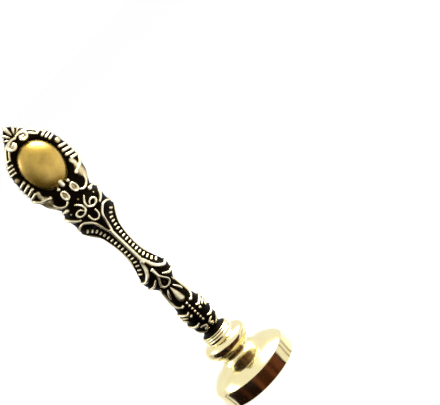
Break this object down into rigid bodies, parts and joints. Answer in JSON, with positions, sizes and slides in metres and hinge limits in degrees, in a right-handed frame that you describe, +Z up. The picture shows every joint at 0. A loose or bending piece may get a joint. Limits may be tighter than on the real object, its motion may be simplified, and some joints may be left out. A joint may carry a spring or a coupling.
{
  "type": "wax seal stamp",
  "caption": "Hand stamp for sealing wax: an ornate cast handle with a domed oval cartouche, a turned bead ferrule and a screw-on round head with an engraved flat face.",
  "frame": {"origin": "centre of the die face, on the stamp's axis", "axes": "+Z up the stamp's axis to the tip of the handle, -Y out of the front of the cartouche, +X to the right seen from the front"},
  "size_m": [0.025, 0.025, 0.0965],
  "materials": {
    "antique_casting": "antique brass finish, dark in the recesses and bright on the raised work",
    "steel": "plain machined thread",
    "polished_brass": "turned and polished"
  },
  "bodies": {
    "ferrule": {"ferrule": "polished_brass"},
    "die_head": {"die_head": "polished_brass"},
    "handle": {"handle": "antique_casting", "threaded_stud": "steel"}
  },
  "joints": [
    {"name": "head_unscrew", "type": "hinge", "parent": "ferrule", "child": "die_head", "pos_m": [0, 0, 0.0098], "axis": [0, 0, -1], "range_deg": [0, 3240]},
    {"name": "handle_travel", "type": "slide", "parent": "ferrule", "child": "handle", "axis": [0, 0, 1], "range_m": [0, 0.0063]}
  ],
  "couplings": [
    {"joint": "handle_travel", "follows": "head_unscrew", "m_per_rad": 0.00011141}
  ]
}
